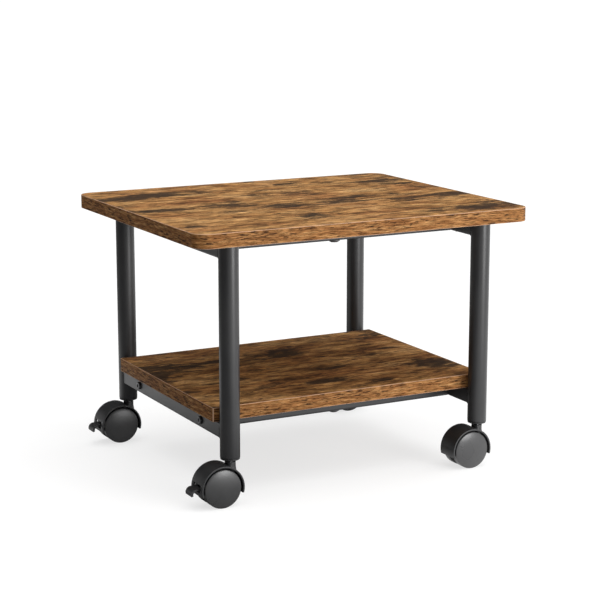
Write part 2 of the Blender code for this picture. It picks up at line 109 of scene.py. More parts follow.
# Casters. The lever's places are measured from its pivot, as (X, Z), and its hook's angles in degrees
HOOD_WALL = 2 * MM
WEB_HALF_WIDTH = 5.2 * MM
WEB_FILLET = 1.2 * MM
LIP_ROUNDING = 0.35 * MM
BOSS_NECK_RADIUS = 7 * MM
BOSS_NECK_HEIGHT = 6 * MM
BOSS_FOOT_RADIUS = 9 * MM
BOSS_FOOT_DROP = 20 * MM
BAY_HALF_WIDTH = 3.4 * MM
BAY_TOP = 36 * MM
BAY_END = 9.5 * MM
SLOT_HEIGHTS = (22.2 * MM, 32.5 * MM)
SLOT_TREAD_GAP = 0.4 * MM
CUT_MARGIN = 1 * MM
WHEEL_RIM_WALL = 3.5 * MM
WHEEL_HUB_RADIUS = 6 * MM
WHEEL_SHOULDER = 0.9 * MM
WHEEL_DOME_RISE = 2.6 * MM
WHEEL_DOME_STEPS = 14
WHEEL_WEB_DEPTH = 3 * MM
TREAD_REACH = 0.15 * MM
TREAD_MARGIN = 1.2 * MM
AXLE_END_GAP = 0.5 * MM
PEDAL_HALF_WIDTH = 9 * MM
PEDAL_THICKNESS = 2.6 * MM
PEDAL_TOP = 0.2 * MM
PEDAL_ROOT = -5.2 * MM
HOOK_MIDDLE = Vector((-12.2 * MM, -7.2 * MM))
HOOK_RADIUS = 6.8 * MM
HOOK_START = 82
HOOK_END = 200
HOOK_STEPS = 20
LEVER_ARM_DEPTH = 2.2 * MM
LEVER_ARM_OVERLAP = 2 * MM
LEVER_EYE_RADIUS = 2.8 * MM

# Camera
CAMERA_PLACE = Vector((-1.0947, -2.0789, 0.6936))
CAMERA_YAW = 27.83
CAMERA_PITCH = 11.56
CAMERA_LENS = 105.8
CAMERA_SENSOR = 36

# Studio floor. To the camera it glows by FLOOR_GLOW. To the stand it gives off FLOOR_BOUNCE on the key
# light's side, coming in between FLOOR_BOUNCE_EDGES metres that way, and FLOOR_POOL in a round pool at
# the rear left, fading out between FLOOR_POOL_EDGES metres from its middle
FLOOR_HALF_SIZE = 30
FLOOR_GREY = (0.34, 0.34, 0.34, 1.0)
FLOOR_GLOW = 0.70
FLOOR_BOUNCE = 1.10
FLOOR_BOUNCE_SIDE = (0.77, -0.64, 0.0)
FLOOR_BOUNCE_EDGES = (0.05, 0.32)
FLOOR_POOL = 0.75
FLOOR_POOL_MIDDLE = (-0.46, 0.46, 0.0)
FLOOR_POOL_EDGES = (0.16, 0.42)

# Studio light: the key light, and the world's patches of light as
# (direction, angle of the edge, angle of the core, strength), over an even fill
WHITE = (1.0, 1.0, 1.0, 1.0)
KEY_PLACE = (0.85, -2.20, 0.50)
KEY_TARGET = (0, 0, 0.2)
KEY_SIZE = (0.9, 0.8)
KEY_POWER = 25
BACKDROP_STRENGTH = 1.1
WORLD_FILL = 0.05
WORLD_PATCHES = [
    ((0.83, -0.56, 0.20), 66, 38, 1.7),
    ((0.0, 0.0, 1.0), 46, 14, 3.3),
    ((-0.45, 0.88, 0.0), 26, 8, 0.5),
]


# Mesh tools


def rounded(points, steps=4, closed=False):
    """Rounds the corners of a line of (u, v, radius) points and gives (u, v) points."""
    line = []
    count = len(points)
    for i, (u, v, radius) in enumerate(points):
        corner = Vector((u, v))
        is_end = not closed and i in (0, count - 1)
        if radius == 0 or is_end:
            line.append((u, v))
            continue
        before = Vector(points[i - 1][:2]) - corner
        after = Vector(points[(i + 1) % count][:2]) - corner
        half_turn = before.angle(after) / 2
        reach = min(radius / math.tan(half_turn), before.length / 2, after.length / 2)
        start = corner + before.normalized() * reach
        end = corner + after.normalized() * reach
        for k in range(steps + 1):
            t = k / steps
            point = start * (1 - t) ** 2 + corner * 2 * t * (1 - t) + end * t**2
            line.append((point.x, point.y))
    return line


def turned(profile, sides, closed=False):
    """Turns (radius, height) points about Z. A radius may be a function of the angle."""
    bm = bmesh.new()
    rings = []
    for radius, height in profile:
        if radius == 0:
            rings.append([bm.verts.new((0, 0, height))])
            continue
        ring = []
        for k in range(sides):
            angle = 2 * math.pi * k / sides
            reach = radius(angle) if callable(radius) else radius
            ring.append(bm.verts.new((reach * math.cos(angle), reach * math.sin(angle), height)))
        rings.append(ring)
    pairs = list(zip(rings, rings[1:]))
    if closed:
        pairs.append((rings[-1], rings[0]))
    for upper, lower in pairs:
        join_rings(bm, upper, lower)
    bmesh.ops.recalc_face_normals(bm, faces=bm.faces)
    return bm


def join_rings(bm, one, other):
    """Faces between two rings of as many points, or between a ring and a single pole."""
    sides = max(len(one), len(other))
    if sides == 1:
        return
    for k in range(sides):
        following = (k + 1) % sides
        if len(one) == 1:
            bm.faces.new((one[0], other[k], other[following]))
        elif len(other) == 1:
            bm.faces.new((one[k], other[0], one[following]))
        else:
            bm.faces.new((one[k], other[k], other[following], one[following]))


def loft(loops, closed_section):
    """Faces between loops of points, in order, and back to the first where the section is closed."""
    bm = bmesh.new()
    rings = [[bm.verts.new(point) for point in loop] for loop in loops]
    pairs = list(zip(rings, rings[1:]))
    if closed_section:
        pairs.append((rings[-1], rings[0]))
    else:
        bm.faces.new(rings[0])
        bm.faces.new(rings[-1])
    for one, other in pairs:
        join_rings(bm, one, other)
    bmesh.ops.recalc_face_normals(bm, faces=bm.faces)
    return bm


def working_object(bm, name="cutter"):
    mesh = bpy.data.meshes.new(name)
    bm.to_mesh(mesh)
    bm.free()
    obj = bpy.data.objects.new(name, mesh)
    bpy.context.scene.collection.objects.link(obj)
    return obj


def box_bm(low, high):
    low, high = Vector(low), Vector(high)
    bm = bmesh.new()
    move = Matrix.Translation((low + high) / 2)
    bmesh.ops.create_cube(bm, size=1, matrix=move @ Matrix.Diagonal((*(high - low), 1)))
    return bm


def cut(target, bm, operation="DIFFERENCE"):
    """Cuts a working object by a mesh, or joins the mesh to it."""
    other = working_object(bm)
    modifier = target.modifiers.new("cut", "BOOLEAN")
    modifier.operation = operation
    modifier.solver = "EXACT"
    modifier.object = other
    settle(target)
    bpy.data.objects.remove(other)


def settle(obj):
    """Applies a working object's modifiers."""
    bpy.context.view_layer.update()
    graph = bpy.context.evaluated_depsgraph_get()
    mesh = bpy.data.meshes.new_from_object(obj.evaluated_get(graph))
    obj.modifiers.clear()
    obj.data = mesh


def softened(obj, width, segments, crease):
    """Bevels a working object's sharp edges, removes the object and gives its mesh."""
    edges = obj.modifiers.new("edges", "BEVEL")
    edges.width = width
    edges.segments = segments
    edges.limit_method = "ANGLE"
    edges.angle_limit = math.radians(crease)
    settle(obj)
    mesh = obj.data
    bpy.data.objects.remove(obj)
    return mesh


def shade(mesh, crease=32):
    mesh.shade_smooth()
    mesh.set_sharp_from_angle(angle=math.radians(crease))


def add_piece(name, source, body, material, replaced=(), move=(0, 0, 0)):
    """A finished piece: source is a bmesh or a mesh, moved to its place in the stand."""
    if isinstance(source, bmesh.types.BMesh):
        mesh = bpy.data.meshes.new(name)
        source.to_mesh(mesh)
        source.free()
    else:
        mesh = source.copy()
        mesh.name = name
    mesh.transform(Matrix.Translation(move))
    mesh.materials.clear()
    mesh.materials.append(material)
    shade(mesh)
    obj = bpy.data.objects.new(name, mesh)
    bpy.context.scene.collection.objects.link(obj)
    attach(obj, body)
    if replaced:
        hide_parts(*replaced)
    return obj


def middle(node):
    low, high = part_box(node)
    return (low + high) / 2


def half_size(node):
    low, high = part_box(node)
    return (high - low) / 2


# Shader tools


class Shader:
    """A material's nodes: each method adds a node and gives its output socket."""

    def __init__(self, name, **settings):
        self.material = bpy.data.materials.new(name)
        self.material.use_nodes = True
        self.nodes = self.material.node_tree.nodes
        self.links = self.material.node_tree.links
        self.principled = self.nodes["Principled BSDF"]
        for socket, value in settings.items():
            self.principled.inputs[socket.replace("_", " ")].default_value = value

    def add(self, kind, values, **settings):
        node = self.nodes.new(kind)
        for key, value in settings.items():
            setattr(node, key, value)
        for key, value in values.items():
            self.plug(node.inputs[key], value)
        return node

    def plug(self, socket, value):
        if isinstance(value, bpy.types.NodeSocket):
            self.links.new(value, socket)
        else:
            socket.default_value = value

    def place(self):
        return self.add("ShaderNodeTexCoord", {}).outputs["Object"]

    def map_of(self, name):
        return self.add("ShaderNodeUVMap", {}, uv_map=name).outputs["UV"]

    def attribute(self, name):
        return self.add("ShaderNodeAttribute", {}, attribute_name=name).outputs["Fac"]

    def noise(self, vector, scale=1.0, detail=3.0, roughness=0.5):
        values = {"Vector": vector, "Scale": scale, "Detail": detail, "Roughness": roughness}
        return self.add("ShaderNodeTexNoise", values).outputs["Fac"]

    def streaks(self, vector, scale, offset=(0, 0, 0), detail=3.0, roughness=0.5):
        """Noise with its own scale along each axis: the smaller it is, the further drawn out."""
        values = {"Vector": vector, "Scale": scale, "Location": offset}
        stretched = self.add("ShaderNodeMapping", values).outputs[0]
        return self.noise(stretched, 1.0, detail, roughness)

    def vectors(self, operation, one, other, output="Vector"):
        node = self.add("ShaderNodeVectorMath", {0: one, 1: other}, operation=operation)
        return node.outputs[output]

    def shift(self, vector, scale, amount):
        """A vector pushed about by noise, by up to about half the amount each way."""
        push = self.add("ShaderNodeTexNoise", {"Vector": vector, "Scale": scale, "Detail": 2.0})
        centred = self.vectors("SUBTRACT", push.outputs["Color"], (0.5, 0.5, 0.5))
        return self.vectors("ADD", vector, self.vectors("MULTIPLY", centred, amount))

    def span(self, value, low, high, to_low=0.0, to_high=1.0):
        """A value taken smoothly from one range to another, and held at its ends."""
        values = {"Value": value, "From Min": low, "From Max": high, "To Min": to_low, "To Max": to_high}
        return self.add("ShaderNodeMapRange", values, interpolation_type="SMOOTHSTEP").outputs[0]

    def ramp(self, value, stops):
        node = self.add("ShaderNodeValToRGB", {"Fac": value})
        elements = node.color_ramp.elements
        while len(elements) < len(stops):
            elements.new(1.0)
        for element, (position, colour) in zip(elements, stops):
            element.position = position
            element.color = (*colour, 1.0)
        return node.outputs["Color"]

    def mix(self, fac, one, other, blend="MIX"):
        node = self.add("ShaderNodeMix", {}, data_type="RGBA", blend_type=blend)
        for socket, value in zip((node.inputs[0], node.inputs[6], node.inputs[7]), (fac, one, other)):
            if isinstance(value, tuple):
                value = (*value, 1.0)
            self.plug(socket, value)
        return node.outputs[2]

    def arithmetic(self, operation, one, other):
        return self.add("ShaderNodeMath", {0: one, 1: other}, operation=operation).outputs[0]

    def plus(self, one, other):
        return self.arithmetic("ADD", one, other)

    def minus(self, one, other):
        return self.arithmetic("SUBTRACT", one, other)

    def times(self, one, other):
        return self.arithmetic("MULTIPLY", one, other)

    def shadow(self, colour, level):
        """A colour made darker or lighter by a level."""
        grey = self.add("ShaderNodeCombineColor", {0: level, 1: level, 2: level}).outputs[0]
        return self.mix(1.0, colour, grey, "MULTIPLY")

    def bump(self, height, strength, distance):
        values = {"Height": height, "Strength": strength, "Distance": distance}
        return self.add("ShaderNodeBump", values).outputs["Normal"]

    def finish(self, **sockets):
        for name, value in sockets.items():
            self.plug(self.principled.inputs[name.replace("_", " ")], value)
        return self.material


# Materials. A noise scale is in cells to a metre. Noise runs from 0 to 1 and is mostly near 0.5


FACE_TONES = [
    (0.34, (0.130, 0.056, 0.020)),
    (0.43, (0.300, 0.138, 0.046)),
    (0.50, (0.450, 0.228, 0.078)),
    (0.64, (0.620, 0.360, 0.150)),
]
FACE_REDNESS = (0.300, 0.110, 0.040)
FACE_WEATHERED = (0.026, 0.017, 0.012)
FACE_DASH = (0.016, 0.010, 0.007)
BAND_TONES = [
    (0.32, (0.096, 0.037, 0.012)),
    (0.43, (0.196, 0.081, 0.027)),
    (0.54, (0.315, 0.149, 0.053)),
    (0.68, (0.480, 0.280, 0.118)),
]
BAND_CHECK = (0.030, 0.014, 0.008)
BAND_KNOT = (0.022, 0.013, 0.009)
# The pale colour of the painted highlight along the band's rims and sharp corners
BAND_PAINTED_HIGHLIGHT = (0.62, 0.39, 0.26)


def board_face_material():
    """Printed rustic laminate: honey brown, with near-black weathered blotches drawn out along X."""
    shader = Shader("rustic_board_face", Specular_IOR_Level=0.15)
    grain = shader.shift(shader.place(), 14.0, (0.016, 0.010, 0.0))
    tone = shader.streaks(grain, (12.0, 34.0, 20.0), detail=8.0, roughness=0.72)
    colour = shader.ramp(tone, FACE_TONES)
    redness = shader.streaks(grain, (11.0, 17.0, 9.0), (3.1, 1.7, 0.0))
    colour = shader.mix(shader.span(redness, 0.45, 0.7, 0.0, 0.35), colour, FACE_REDNESS)
    veins = shader.streaks(grain, (30.0, 120.0, 20.0), (2.9, 0.0, 0.0), 7.0, 0.75)
    colour = shader.shadow(colour, shader.span(veins, 0.42, 0.60, 1.15, 0.40))
    fibres = shader.streaks(grain, (45.0, 460.0, 20.0), detail=5.0, roughness=0.70)
    colour = shader.shadow(colour, shader.span(fibres, 0.34, 0.64, 0.55, 1.40))
    field = shader.streaks(grain, (8.0, 17.0, 9.0), (0.0, 5.3, 0.0), detail=2.0)
    ragged = shader.streaks(grain, (24.0, 80.0, 20.0), (1.3, 0.0, 0.0), 8.0, 0.78)
    weather = shader.plus(shader.times(field, 0.50), shader.times(ragged, 0.50))
    weathered = shader.span(weather, 0.520, 0.575)
    colour = shader.mix(shader.times(weathered, 0.9), colour, FACE_WEATHERED)
    dashes = shader.streaks(grain, (38.0, 120.0, 20.0), (7.7, 2.2, 0.0), 5.0, 0.6)
    dashed = shader.span(dashes, 0.615, 0.655)
    colour = shader.mix(shader.times(dashed, 0.92), colour, FACE_DASH)
    chatter = shader.streaks(grain, (260.0, 120.0, 20.0), detail=4.0)
    colour = shader.shadow(colour, shader.span(chatter, 0.3, 0.7, 0.90, 1.08))
    height = shader.minus(shader.times(fibres, 0.6), shader.plus(dashed, weathered))
    return shader.finish(
        Base_Color=colour,
        Roughness=shader.span(fibres, 0.3, 0.7, 0.62, 0.50),
        Normal=shader.bump(height, 0.25, 0.12 * MM),
    )


def edge_band_material():
    """The band's own print: finer and more orange than the face, with short dark checks, and a pale painted
    highlight along its rims.
    """
    shader = Shader("rustic_edge_band", Specular_IOR_Level=0.03)
    flat = shader.map_of("grain")
    grain = shader.shift(flat, 60.0, (0.003, 0.0005, 0.0))
    tone = shader.streaks(grain, (24.0, 300.0, 1.0), detail=7.0, roughness=0.75)
    colour = shader.ramp(tone, BAND_TONES)
    fibres = shader.streaks(grain, (70.0, 900.0, 1.0), detail=5.0, roughness=0.75)
    colour = shader.shadow(colour, shader.span(fibres, 0.36, 0.62, 0.42, 1.40))
    checks = shader.streaks(grain, (75.0, 760.0, 1.0), (4.2, 0.0, 0.0), roughness=0.6)
    field = shader.streaks(grain, (12.0, 60.0, 1.0), (0.0, 3.0, 0.0), detail=2.0)
    checked = shader.span(shader.plus(checks, shader.times(field, 0.25)), 0.680, 0.725)
    colour = shader.mix(shader.times(checked, 0.88), colour, BAND_CHECK)
    knots = shader.streaks(grain, (42.0, 210.0, 1.0), (9.0, 1.0, 0.0))
    knotted = shader.span(knots, 0.64, 0.68)
    colour = shader.mix(shader.times(knotted, 0.85), colour, BAND_KNOT)
    # Painted highlight: the band's rims and sharp corners, marked "rim", are painted pale where their
    # rounding would catch the light, broken up by noise
    highlight_breakup = shader.streaks(flat, (160.0, 160.0, 1.0))
    painted_highlight = shader.times(shader.attribute("rim"), shader.span(highlight_breakup, 0.2, 0.5, 0.5, 1.0))
    colour = shader.mix(painted_highlight, colour, BAND_PAINTED_HIGHLIGHT)
    height = shader.minus(fibres, shader.plus(checked, knotted))
    return shader.finish(
        Base_Color=colour,
        Roughness=shader.span(fibres, 0.3, 0.7, 0.60, 0.48),
        Normal=shader.bump(height, 0.35, 0.12 * MM),
    )


def powder_coat_material():
    """Satin black powder coat: fine orange peel, and slightly cloudy in colour and gloss."""
    shader = Shader("black_powder_coat", Specular_IOR_Level=0.5)
    place = shader.place()
    peel = shader.noise(place, 1100.0, 2.0)
    grit = shader.noise(place, 3600.0, 1.0)
    cloud = shader.noise(place, 14.0, 4.0)
    colour = shader.mix(shader.span(cloud, 0.35, 0.7), (0.013, 0.013, 0.014), (0.020, 0.020, 0.021))
    return shader.finish(
        Base_Color=colour,
        Roughness=shader.span(cloud, 0.3, 0.7, 0.33, 0.39),
        Normal=shader.bump(shader.plus(peel, shader.times(grit, 0.35)), 0.16, 0.1 * MM),
    )


def nylon_material():
    """Moulded black nylon: a fine spark-eroded surface with a few paler scuffs."""
    shader = Shader("moulded_black_nylon", Specular_IOR_Level=0.5)
    place = shader.place()
    texture = shader.noise(place, 2600.0, 2.0)
    scratched = shader.shift(place, 60.0, (0.01, 0.01, 0.01))
    scuffs = shader.streaks(scratched, (90.0, 500.0, 900.0), detail=4.0)
    scuffed = shader.span(scuffs, 0.66, 0.78, 0.0, 0.30)
    colour = shader.mix(scuffed, (0.020, 0.020, 0.021), (0.070, 0.070, 0.072))
    return shader.finish(
        Base_Color=colour,
        Roughness=shader.span(shader.noise(place, 45.0, 3.0), 0.3, 0.7, 0.34, 0.44),
        Normal=shader.bump(texture, 0.12, 0.06 * MM),
    )


def wheel_material():
    """Moulded wheels: satin faces, and treads that are duller and carry a little floor dust."""
    shader = Shader("moulded_wheel", Specular_IOR_Level=0.5)
    place = shader.place()
    tread = shader.attribute("tread")
    specks = shader.noise(place, 220.0, 5.0, 0.7)
    dust = shader.times(tread, shader.span(specks, 0.45, 0.75, 0.05, 0.5))
    swirl = shader.noise(place, 30.0, 4.0)
    colour = shader.mix(shader.span(swirl, 0.3, 0.7), (0.040, 0.040, 0.041), (0.050, 0.050, 0.051))
    colour = shader.mix(dust, colour, (0.15, 0.145, 0.135))
    return shader.finish(
        Base_Color=colour,
        Roughness=shader.plus(shader.span(swirl, 0.3, 0.7, 0.27, 0.33), shader.times(tread, 0.2)),
        Normal=shader.bump(shader.noise(place, 2400.0, 2.0), 0.08, 0.05 * MM),
    )


def fastener_material():
    """Black-coated steel, rubbed a little brighter in patches."""
    shader = Shader("black_coated_steel", Metallic=0.35)
    place = shader.place()
    rub = shader.span(shader.noise(place, 900.0, 4.0, 0.65), 0.5, 0.75)
    colour = shader.mix(rub, (0.085, 0.085, 0.088), (0.170, 0.170, 0.175))
    return shader.finish(
        Base_Color=colour,
        Roughness=shader.span(rub, 0.0, 1.0, 0.34, 0.26),
        Normal=shader.bump(shader.noise(place, 3000.0, 2.0), 0.08, 0.04 * MM),
    )


def steel_material():
    """Zinc-plated steel with fine turning marks round the vertical."""
    shader = Shader("plated_steel", Metallic=1.0)
    place = shader.place()
    marks = shader.streaks(place, (60.0, 60.0, 5200.0))
    colour = shader.mix(shader.span(marks, 0.3, 0.7), (0.36, 0.36, 0.37), (0.55, 0.55, 0.56))
    return shader.finish(
        Base_Color=colour,
        Roughness=shader.span(marks, 0.3, 0.7, 0.22, 0.36),
        Normal=shader.bump(marks, 0.12, 0.03 * MM),
    )


# Boards


def board_outline(half, radius, steps):
    """A rounded rectangle from the middle of its rear edge all the way round."""
    line = [(0.0, half.y)]
    corners = [(-1, 1, 90), (-1, -1, 180), (1, -1, 270), (1, 1, 360)]
    for sx, sy, start in corners:
        centre = (sx * (half.x - radius), sy * (half.y - radius))
        for k in range(steps + 1):
            angle = math.radians(start + 90 * k / steps)
            line.append((centre[0] + radius * math.cos(angle), centre[1] + radius * math.sin(angle)))
    return line


def outline_at(half, radius, steps, inset):
    """The outline drawn in from the board's edge by an inset."""
    return board_outline(half - Vector((inset, inset, 0)), max(radius - inset, LEAST_RADIUS), steps)


def arc_lengths(outline):
    """How far round each point is, and the whole way round."""
    lengths = [0.0]
    for one, other in zip(outline, outline[1:] + outline[:1]):
        lengths.append(lengths[-1] + math.dist(one, other))
    return lengths


def board_loops(half, radius, steps, section):
    """The outline at each (inset, height) of a section."""
    return [[(x, y, z) for x, y in outline_at(half, radius, steps, inset)] for inset, z in section]


def build_board(node, radius, steps, face, band):
    """A board's core and the band round it, each a section carried round the outline."""
    centre, half = middle(node), half_size(node)
    low, high = -half.z, half.z
    rise = CORE_ROUNDING
    edge = BAND_THICKNESS + BAND_SEAM
    support = edge + 4 * rise
    core_section = [(support, low), (edge + rise, low), (edge, low + rise), (edge, high - rise),
                    (edge + rise, high), (support, high)]
    core = loft(board_loops(half, radius, steps, core_section), False)
    add_piece(f"{node}_core", core, "frame", face, [node], centre)

    r = BAND_ROUNDING
    corners = [(0, low, r), (0, high, r), (BAND_THICKNESS, high, 0), (BAND_THICKNESS, low, 0)]
    section = rounded(corners, 5, closed=True)
    ring = loft(board_loops(half, radius, steps, section), True)
    paint_band(ring, section, half, radius, steps)
    add_piece(f"{node}_edge_band", ring, "frame", band, (), centre)


def paint_band(bm, section, half, radius, steps):
    """Stores each face's way round the board as the map "grain", and where its edges get a painted
    highlight as "rim".
    """
    outline = outline_at(half, radius, steps, 0)
    lengths = arc_lengths(outline)
    count = len(outline)
    grain = bm.loops.layers.uv.new("grain")
    rim = bm.verts.layers.float.new("rim")
    bm.verts.ensure_lookup_table()
    seat = {vert: divmod(i, count) for i, vert in enumerate(bm.verts)}
    # Painted highlight: "rim" is 1 near the band's top and bottom edges and on a sharp upright corner
    sharp = radius < SHARP_CORNER
    for vert, (ring, column) in seat.items():
        inset, height = section[ring]
        near_edge = half.z - abs(height) < PAINTED_HIGHLIGHT_REACH
        on_corner = sharp and column > 0 and (column - 1) % (steps + 1) not in (0, steps)
        vert[rim] = 1.0 if (near_edge or on_corner) and inset < BAND_THICKNESS else 0.0
    for face in bm.faces:
        columns = [seat[loop.vert][1] for loop in face.loops]
        wraps = max(columns) - min(columns) > 1
        for loop in face.loops:
            ring, column = seat[loop.vert]
            along = lengths[count] if wraps and column == 0 else lengths[column]
            loop[grain].uv = (along, section[ring][1])


# Tube frame


def square_ring(half, radius):
    """A rounded square's points, close enough together to follow a coped end."""
    step = math.radians(90) / RAIL_BEND_STEPS
    inner = half - radius
    line = []
    for quarter in range(4):
        turn = quarter * math.pi / 2
        flat = [(half, -inner + 2 * inner * k / RAIL_SIDE_STEPS) for k in range(RAIL_SIDE_STEPS)]
        bend = [(inner + radius * math.cos(k * step), inner + radius * math.sin(k * step))
                for k in range(RAIL_BEND_STEPS)]
        for a, b in flat + bend:
            line.append((a * math.cos(turn) - b * math.sin(turn), a * math.sin(turn) + b * math.cos(turn)))
    return line


def square_tube(half, end_of):
    """A square tube along Y: end_of(x) is how far it reaches from its middle at each place across."""
    outer = square_ring(half, RAIL_CORNER_RADIUS)
    inner = square_ring(half - RAIL_WALL, RAIL_CORNER_RADIUS - RAIL_WALL)
    loops = [
        [(x, -end_of(x), z) for x, z in outer],
        [(x, end_of(x), z) for x, z in outer],
        [(x, end_of(x), z) for x, z in inner],
        [(x, -end_of(x), z) for x, z in inner],
    ]
    return loft(loops, True)


def weld_bead(half, end_of, sign):
    """The bead round three sides of a coped end, tapered where it starts and stops under the board."""
    top = half - 2 * RAIL_CORNER_RADIUS
    ring = square_ring(half, RAIL_CORNER_RADIUS)
    first = next(i for i, (x, z) in enumerate(ring) if x < 0 and z < top and z > -half / 2)
    ordered = [point for point in ring[first:] + ring[:first] if point[1] < top]
    path = [Vector((x, sign * end_of(x), z)) for x, z in ordered]
    lengths = [0.0]
    for one, other in zip(path, path[1:]):
        lengths.append(lengths[-1] + (other - one).length)
    rings = []
    for i, point in enumerate(path):
        ahead = (path[min(i + 1, len(path) - 1)] - path[max(i - 1, 0)]).normalized()
        side = ahead.cross(Vector((0, 1, 0))).normalized()
        up = side.cross(ahead)
        from_end = min(lengths[i], lengths[-1] - lengths[i])
        taper = min(1.0, BEAD_START + from_end / BEAD_TAPER_LENGTH)
        ripple = 1 + BEAD_RIPPLE * math.sin(2 * math.pi * lengths[i] / BEAD_RIPPLE_LENGTH)
        reach = BEAD_RADIUS * taper * ripple
        angles = [2 * math.pi * k / BEAD_SIDES for k in range(BEAD_SIDES)]
        rings.append([point + (side * math.cos(a) + up * math.sin(a)) * reach for a in angles])
    return loft(rings, False)


def build_rails(coat):
    """The side rails, coped to the legs' round walls and welded to them, and the straight cross rails."""
    leg_centre = middle("leg_front_left")
    leg_radius = half_size("leg_front_left").x

    def cope(x):
        return abs(leg_centre.y) - math.sqrt((leg_radius + GAP) ** 2 - x**2)

    for level in LEVELS:
        for side in SIDES:
            node = f"side_rail_{level}_{side}"
            centre, half = middle(node), half_size(node).z
            add_piece(node + "_tube", square_tube(half, cope), "frame", coat,
                      [node], centre)
            for end, sign in ENDS.items():
                add_piece(f"weld_{level}_{end}_{side}", weld_bead(half, cope, sign),
                          "frame", coat, (), centre)
        for end in ENDS:
            node = f"cross_rail_{level}_{end}"
            centre, half = middle(node), half_size(node)
            tube = square_tube(half.z, lambda x: half.x)
            bmesh.ops.rotate(tube, verts=tube.verts, matrix=Matrix.Rotation(math.pi / 2, 3, "Z"))
            add_piece(node + "_tube", tube, "frame", coat, [node], centre)


def build_legs(coat, nylon, steel):
    """The leg tubes, open at both ends, each with its socket and the caster's stem."""
    for side in SIDES:
        for end in ENDS:
            corner = f"{end}_{side}"
            leg = f"leg_{corner}"
            centre, half = middle(leg), half_size(leg)
            bore = half.x - LEG_WALL
            rim = LEG_RIM_ROUNDING
            deburr = 0.3 * rim
            profile = rounded(
                [(half.x, half.z, deburr), (half.x, -half.z, rim), (bore, -half.z, deburr),
                 (bore, half.z, deburr)], 4, closed=True)
            add_piece(leg + "_tube", turned(profile, TUBE_SIDES, True), "frame",
                      coat, [leg], centre)
            build_socket(corner, nylon)
            build_stem(corner, steel)


def build_socket(corner, nylon):
    """The plug in a leg's lower end, with a round-edged flange below the tube."""
    node = f"leg_socket_{corner}"
    low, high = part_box(node)
    centre = (low + high) / 2
    radius = half_size(node).x
    leg_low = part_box(f"leg_{corner}")[0].z
    bore = half_size(f"caster_stem_{corner}").x + GAP
    plug = half_size(f"leg_{corner}").x - LEG_WALL - GAP
    flange = leg_low - GAP
    profile = rounded(
        [(bore, high.z, 0.3 * MM), (plug, high.z, 1 * MM), (plug, flange, 0), (radius, flange, 0.3 * MM),
         (radius, low.z, SOCKET_FLANGE_ROUNDING), (bore, low.z, 0.4 * MM)], 5, closed=True)
    add_piece(node + "_plug", turned(profile, TUBE_SIDES, True), "frame", nylon, [node],
              (centre.x, centre.y, 0))


def build_stem(corner, steel):
    """The plated stem, with its shoulder and the snap ring's groove."""
    node = f"caster_stem_{corner}"
    low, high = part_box(node)
    centre = (low + high) / 2
    radius = half_size(node).x
    pivot = radius - STEM_STEP
    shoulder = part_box(f"leg_{corner}")[0].z - STEM_SHOULDER_DROP
    groove = pivot - GROOVE_DEPTH
    groove_foot, groove_top = low.z + GROOVE_FOOT, low.z + GROOVE_TOP
    profile = rounded(
        [(0, high.z, 0), (radius, high.z, 0.8 * MM), (radius, shoulder, 0.4 * MM),
         (pivot, shoulder, 0.2 * MM), (pivot, groove_top, 0.2 * MM), (groove, groove_top, 0.1 * MM),
         (groove, groove_foot, 0.1 * MM), (pivot, groove_foot, 0.2 * MM),
         (pivot, low.z, 1 * MM), (0, low.z, 0)], 3)
    add_piece(node + "_pin", turned(profile, SMALL_SIDES), "frame", steel, [node],
              (centre.x, centre.y, 0))


# Fasteners


def hexagon(flats):
    """The reach of a hexagon at an angle."""
    return lambda angle: flats / 2 / math.cos((angle % (math.pi / 3)) - math.pi / 6)


def cross_slot(radius):
    """The reach of a cross recess at an angle."""
    return lambda angle: radius * (0.28 + 0.72 * abs(math.cos(2 * angle)) ** 5)


def bolt_bm(head_radius, head_height, length):
    """A button-head bolt up Z, seated at Z = 0: a flat face round a hex socket, and a rounded shoulder."""
    socket = hexagon(BOLT_SOCKET_FLATS)
    mouth = BOLT_SOCKET_FLATS * 0.6
    lead_in = head_height - 0.2 * MM
    floor = head_height - BOLT_SOCKET_DEPTH
    drill_point = floor - 0.5 * MM
    flat = head_radius * 0.93
    brim = head_height * 0.35
    chamfer = 0.1 * MM
    shank = BOLT_SHANK_RADIUS
    head = rounded(
        [(mouth, head_height, 0), (flat, head_height, 2 * MM), (head_radius, brim, 0.8 * MM),
         (head_radius, chamfer, 0)], 6)
    profile = [(0, drill_point), (socket, floor), (socket, lead_in)] + head + [
        (head_radius - chamfer, 0), (shank, 0), (shank, MM - length), (shank - MM, -length),
        (0, -length)]
    return turned(profile, SMALL_SIDES)


def screw_bm(head_radius, head_height, length):
    """A washer-head screw that hangs below Z = 0, with a cross recess underneath and its shank above."""
    recess = cross_slot(head_radius * 0.42)
    depth = head_height * 0.6
    washer = -0.35 * head_height
    crown = head_radius * 0.62
    mouth = head_radius * 0.45
    point = 2 * MM
    shank = SCREW_SHANK_RADIUS
    head = rounded(
        [(head_radius, 0, 0.2 * MM), (head_radius, washer, 0.5 * MM), (crown, -head_height, 0.8 * MM),
         (mouth, -head_height, 0)], 4)
    profile = [(0, length), (shank, length - point), (shank, 0)] + head + [
        (recess, -head_height), (recess, -head_height + depth), (0, -head_height + depth)]
    return turned(profile, SMALL_SIDES)


